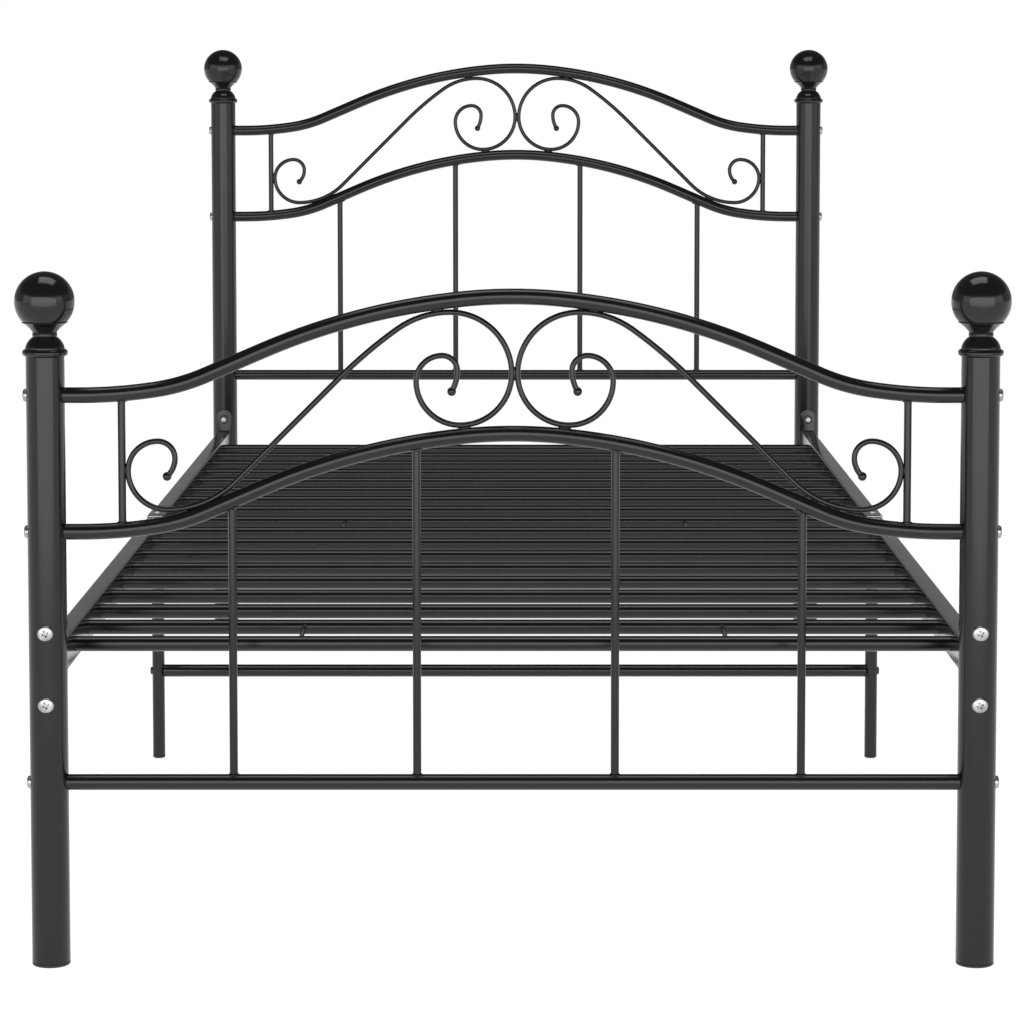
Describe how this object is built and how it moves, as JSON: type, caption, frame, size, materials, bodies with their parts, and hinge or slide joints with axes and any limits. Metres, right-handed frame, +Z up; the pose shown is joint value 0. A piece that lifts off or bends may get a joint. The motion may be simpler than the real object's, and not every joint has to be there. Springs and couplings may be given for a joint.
{
  "type": "metal bed frame",
  "caption": "Single bed frame of black steel tube: round posts with ball finials, arched head and foot panels with scrolls, tube side rails, cross slats and mid legs.",
  "frame": {"origin": "on the floor under the middle of the bed, at the bottom centre of the bounding box", "axes": "+Y runs along the bed towards the head end, +X to the right as seen from the foot end, +Z up"},
  "size_m": [0.99, 2.1, 0.9265],
  "materials": {
    "black_powder_coat": "semi-gloss powder coat",
    "finial_gloss_black": "high gloss",
    "cap_black_plastic": "satin moulded plastic",
    "zinc_plated_steel": "bright zinc plate",
    "bare_steel": "turned steel",
    "black_oxide_steel": "black oxide"
  },
  "bodies": {
    "root": {"bracket_nuts": "black_oxide_steel", "crossbar": "black_powder_coat", "crossbar_bolts": "black_oxide_steel", "crossbar_inserts": "bare_steel", "foot_bottom_rail": "black_powder_coat", "foot_finial_ball_left": "finial_gloss_black", "foot_finial_ball_right": "finial_gloss_black", "foot_finial_base_left": "finial_gloss_black", "foot_finial_base_right": "finial_gloss_black", "foot_long_bars": "black_powder_coat", "foot_lower_arch": "black_powder_coat", "foot_panel_screws": "zinc_plated_steel", "foot_post_cap_left": "cap_black_plastic", "foot_post_cap_right": "cap_black_plastic", "foot_post_left": "black_powder_coat", "foot_post_right": "black_powder_coat", "foot_scroll_left": "black_powder_coat", "foot_scroll_right": "black_powder_coat", "foot_short_bars": "black_powder_coat", "foot_top_arch": "black_powder_coat", "foot_tube_inserts": "bare_steel", "head_bottom_rail": "black_powder_coat", "head_finial_ball_left": "finial_gloss_black", "head_finial_ball_right": "finial_gloss_black", "head_finial_base_left": "finial_gloss_black", "head_finial_base_right": "finial_gloss_black", "head_long_bars": "black_powder_coat", "head_lower_arch": "black_powder_coat", "head_panel_screws": "zinc_plated_steel", "head_post_cap_left": "cap_black_plastic", "head_post_cap_right": "cap_black_plastic", "head_post_left": "black_powder_coat", "head_post_right": "black_powder_coat", "head_scroll_left": "black_powder_coat", "head_scroll_right": "black_powder_coat", "head_short_bars": "black_powder_coat", "head_top_arch": "black_powder_coat", "head_tube_inserts": "bare_steel", "joint_plate_left": "zinc_plated_steel", "joint_plate_right": "zinc_plated_steel", "mid_leg_bolts": "zinc_plated_steel", "mid_leg_cap_left": "cap_black_plastic", "mid_leg_cap_right": "cap_black_plastic", "mid_leg_inserts": "bare_steel", "mid_leg_left": "black_powder_coat", "mid_leg_right": "black_powder_coat", "rail_bolts": "zinc_plated_steel", "rail_bracket_left_foot": "black_powder_coat", "rail_bracket_left_head": "black_powder_coat", "rail_bracket_right_foot": "black_powder_coat", "rail_bracket_right_head": "black_powder_coat", "rail_joiner_left": "bare_steel", "rail_joiner_right": "bare_steel", "rail_left_foot": "black_powder_coat", "rail_left_head": "black_powder_coat", "rail_right_foot": "black_powder_coat", "rail_right_head": "black_powder_coat", "slat_link_rods": "black_powder_coat", "slats_foot_half": "black_powder_coat", "slats_head_half": "black_powder_coat"}
  },
  "joints": []
}
